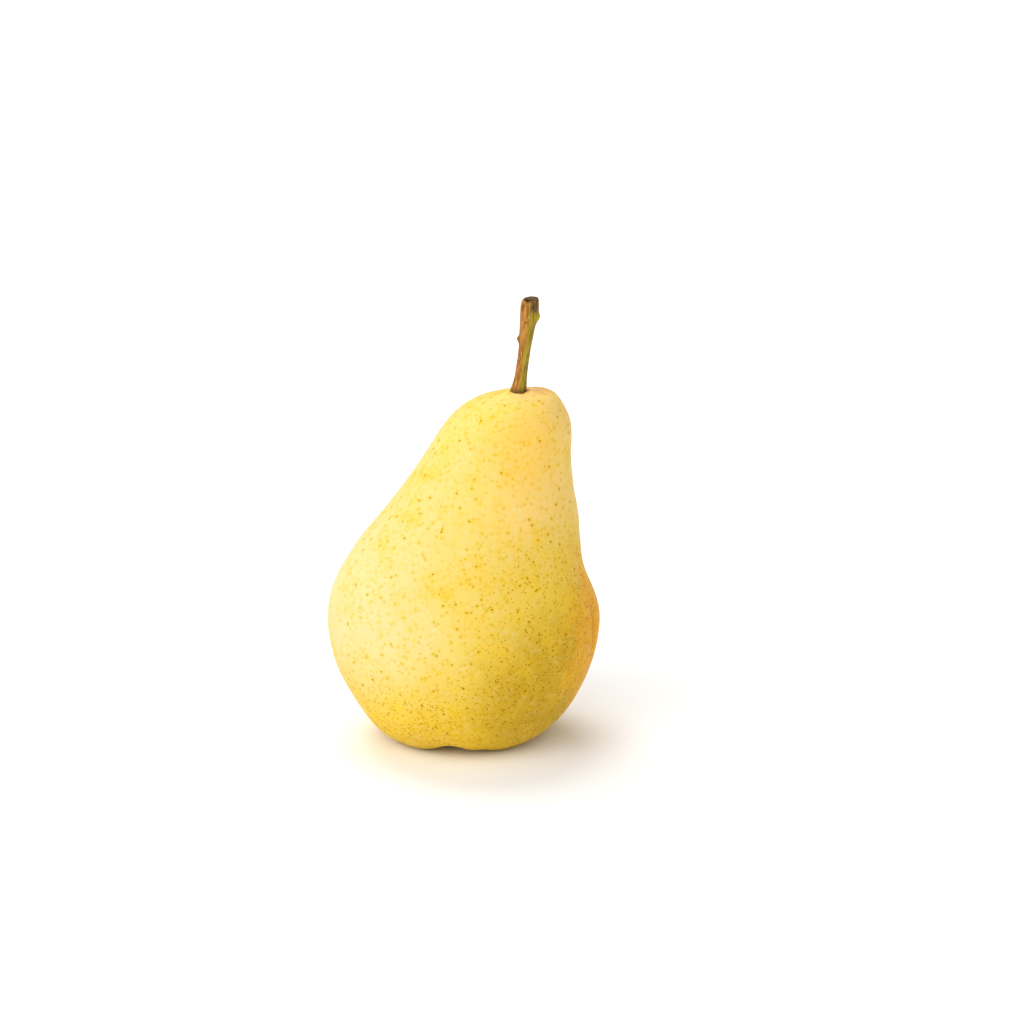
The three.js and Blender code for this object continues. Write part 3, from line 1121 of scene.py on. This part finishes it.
@dataclass
class Threads:
    """A ring of dried threads in the basin: the stamens, or the styles inside them.

    Attributes:
        kind, count: The name of one thread, and how many there are.
        outline: A thread's outline from its root, as (radius, length).
        rings, root_z: The radii that their roots stand at, by turns, and their roots' height.
        length, longer: The share of the outline's length that they have, and how much that differs.
        beat: How that difference runs on from thread to thread, in radians, and where it starts.
        lean, leaner: How far they lean outwards, as a slope, and how much that differs.
        sway, bend: How far they wave and bend sideways.
    """

    kind: str
    count: int
    outline: Outline
    rings: Sequence[float]
    root_z: float
    length: float
    longer: float
    beat: Span
    lean: float
    leaner: float
    sway: float
    bend: float
    sides: int = 12
    steps: int = 4

    def grow(self, index: int) -> Move:
        """Says how one straight thread is bent, crinkled and hung from the basin's floor.

        Args:
            index: Which thread it is.

        Returns:
            The move from the straight thread's places to the grown one's.
        """
        length = self.length + self.longer * math.sin(self.beat[0] * index + self.beat[1])
        lean = self.lean + self.leaner * math.sin(2.7 * index)
        bend = self.bend * math.sin(1.3 * index)
        radius = self.rings[index % len(self.rings)]
        phase = 1.9 * index

        def move(places: np.ndarray) -> np.ndarray:
            """Carries the straight thread's places to the grown one's."""
            x, y, z = places.T
            h = z * length
            sway_x = self.sway * (np.sin(1.6 * h + phase) - math.sin(phase)) * smoothstep(0, 1.5, h)
            sway_y = self.sway * (np.cos(1.3 * h + phase) - math.cos(phase)) * smoothstep(0, 1.5, h)
            crinkle = 1 + Ripple(0.22, 0.35, 60.0 + index).lift(places)
            return np.column_stack([
                radius + x * crinkle + h * lean + sway_x,
                -y * crinkle + bend * h * h + sway_y,
                self.root_z - h,
            ])

        return move

    def build(self, material: Material, placement: Placement) -> list[Piece]:
        """Makes the threads.

        Args:
            material: Their dry finish.
            placement: Where design mm go.

        Returns:
            The pieces.
        """
        made = []
        for index in range(self.count):
            body = spun(smooth_outline(self.outline, self.steps), self.sides)
            length = places_of(body)[:, 2]
            marks = {"frayed": smoothstep(length.max() * 0.6, length.max(), length)}
            reshape(body, self.grow(index))
            bmesh.ops.recalc_face_normals(body, faces=body.faces[:])
            heading = Matrix.Rotation(index * 2 * math.pi / self.count, 3, "Z")
            bmesh.ops.rotate(body, verts=body.verts[:], cent=(0, 0, 0), matrix=heading)
            node = f"{self.kind}_{index + 1}"
            made.append(show(body, f"calyx_{node}", node, material, placement, marks))
        return made


DRY_LEAF = DriedFinish("dried_sepal", dark="#17110d", warm="#3a2a1e", grey="#8d8071", edge=0.9)
DRY_THREAD = DriedFinish("dried_thread", dark="#21150c", warm="#5a4127", grey="#8a7453", edge=0.6)
STAMENS = Threads(
    "stamen", 20, rings=(2.45, 3.3), root_z=5.75, length=0.82, longer=0.12, beat=(4.1, 1.0),
    lean=0.24, leaner=0.08, sway=0.22, bend=0.03, outline=(
        (0.0, 0.0), (0.26, 0.0), (0.2, 0.9), (0.18, 2.0), (0.2, 2.9), (0.42, 3.3), (0.4, 3.8), (0.0, 4.2),
    ),
)
STYLES = Threads(
    "style", 5, rings=(1.0,), root_z=5.95, length=0.9, longer=0.1, beat=(2.1, 0.0),
    lean=0.12, leaner=0.0, sway=0.08, bend=0.0, outline=(
        (0.0, 0.0), (0.34, 0.0), (0.26, 1.0), (0.24, 2.2), (0.44, 2.7), (0.3, 3.1), (0.0, 3.2),
    ),
)


# ---- the studio


@dataclass(frozen=True)
class Lamp:
    """A far, wide, soft lamp: its name, where it stands, its strength and its spread in degrees."""

    name: str
    towards: Vector
    strength: float
    spread: float

    def hang(self) -> None:
        """Puts the lamp in the scene."""
        light = bpy.data.lights.new(self.name, "SUN")
        light.energy = self.strength
        light.angle = math.radians(self.spread)
        lamp = linked(self.name, light)
        lamp.rotation_euler = self.towards.to_track_quat("Z", "Y").to_euler()


@dataclass
class Studio:
    """A pale table, soft light from the left and front, and the camera."""

    floor_size: float = 8.0
    sky_strength: float = 0.34
    lamps: Sequence[Lamp] = (
        Lamp("soft_left", Vector((-0.68, -0.48, 0.56)), 0.68, 46.0),
        Lamp("soft_side", Vector((-0.85, -0.2, 0.5)), 0.53, 60.0),
        Lamp("soft_front", Vector((-0.3, -0.75, 0.6)), 1.16, 60.0),
        Lamp("soft_fill", Vector((0.8, -0.25, 0.55)), 0.43, 60.0),
        Lamp("soft_top", Vector((-0.2, 0.5, 0.85)), 1.6, 42.0),
    )
    camera_distance: float = 1.0
    camera_elevation: float = 16.0
    view_width: float = 0.2645
    aim_x: float = 0.0126
    aim_z: float = 0.060
    sensor: float = 36.0

    def floor(self) -> None:
        """The table's top, wide enough to fill the view."""
        sheet = bmesh.new()
        bmesh.ops.create_grid(sheet, x_segments=1, y_segments=1, size=self.floor_size / 2)
        mesh = bpy.data.meshes.new("table_top")
        sheet.to_mesh(mesh)
        sheet.free()
        mesh.materials.append(FloorFinish().build())
        linked("table_top", mesh)

    def sky(self) -> None:
        """An even white surround."""
        world = bpy.data.worlds.new("white_surround")
        world.use_nodes = True
        background = world.node_tree.nodes["Background"]
        background.inputs["Color"].default_value = (1.0, 1.0, 1.0, 1.0)
        background.inputs["Strength"].default_value = self.sky_strength
        bpy.context.scene.world = world

    def camera(self) -> None:
        """The camera, slightly above and in front, with a long lens."""
        lens = bpy.data.cameras.new("camera")
        lens.sensor_width = self.sensor
        lens.lens = self.sensor * self.camera_distance / self.view_width
        lens.clip_end = 100.0
        tripod = linked("camera", lens)
        elevation = math.radians(self.camera_elevation)
        back = Vector((0.0, -math.cos(elevation), math.sin(elevation)))
        tripod.location = Vector((self.aim_x, 0.0, self.aim_z)) + back * self.camera_distance
        tripod.rotation_euler = back.to_track_quat("Z", "Y").to_euler()
        bpy.context.scene.camera = tripod

    def build(self) -> None:
        """Sets the studio up."""
        bpy.context.scene.view_settings.view_transform = "Standard"
        self.floor()
        self.sky()
        for lamp in self.lamps:
            lamp.hang()
        self.camera()
        LOG.info("studio: table, surround, %d soft lamps and the camera", len(self.lamps))


def main() -> None:
    """Builds the studio and the pear, and reports each piece."""
    logging.basicConfig(level=logging.INFO, format="%(name)s: %(message)s", stream=sys.stdout)
    Studio().build()
    fruit = Fruit()
    placement = fruit.find_placement()
    stem = Stem()
    foot = placement.place((stem.base_x, 0.0, stem.base_z))
    fruit.build(SkinFinish(foot).build(), placement)
    stem.build(BarkFinish().build(), placement)
    Sepals().build(DRY_LEAF.build(), placement)
    dry_thread = DRY_THREAD.build()
    STAMENS.build(dry_thread, placement)
    STYLES.build(dry_thread, placement)


if __name__ == "__main__":
    main()
